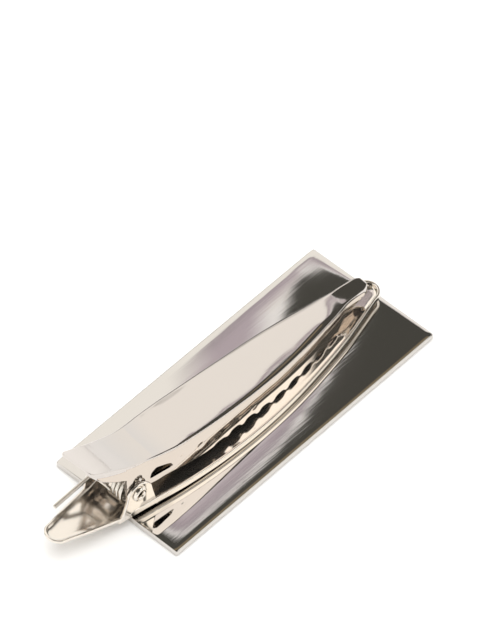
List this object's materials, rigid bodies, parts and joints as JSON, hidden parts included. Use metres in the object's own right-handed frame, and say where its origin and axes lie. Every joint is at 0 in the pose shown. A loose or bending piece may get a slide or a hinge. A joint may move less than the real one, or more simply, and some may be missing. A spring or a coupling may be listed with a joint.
{
  "type": "alligator hair clip",
  "caption": "Toothed spring hair clip with thumb levers, soldered to the back of a plain polished rectangular plaque.",
  "frame": {"origin": "on the plaque's front face, which rests on the table, under the clip's centre line", "axes": "+X from the thumb levers to the nose, +Z from the plaque to the clip, +Y to the left of +X"},
  "size_m": [0.0866, 0.032, 0.0218],
  "materials": {
    "plate": "mirror polish",
    "lower_jaw": "bright nickel plating",
    "upper_jaw": "bright nickel plating",
    "pivot_rivet": "bright nickel plating",
    "torsion_spring": "drawn spring wire",
    "solder": "dull soft solder"
  },
  "bodies": {
    "lower": {"plate": "plate", "lower_jaw": "lower_jaw", "pivot_rivet": "pivot_rivet", "torsion_spring": "torsion_spring", "solder_front": "solder", "solder_rear": "solder"},
    "upper": {"upper_jaw": "upper_jaw"}
  },
  "joints": [
    {"name": "jaw_hinge", "type": "hinge", "parent": "lower", "child": "upper", "pos_m": [-0.0332, 0, 0.0078], "axis": [0, -1, 0], "range_deg": [0, 36], "stiffness_Nm_per_rad": 0.08, "springref_deg": -85.94, "deforming": ["torsion_spring"]}
  ]
}
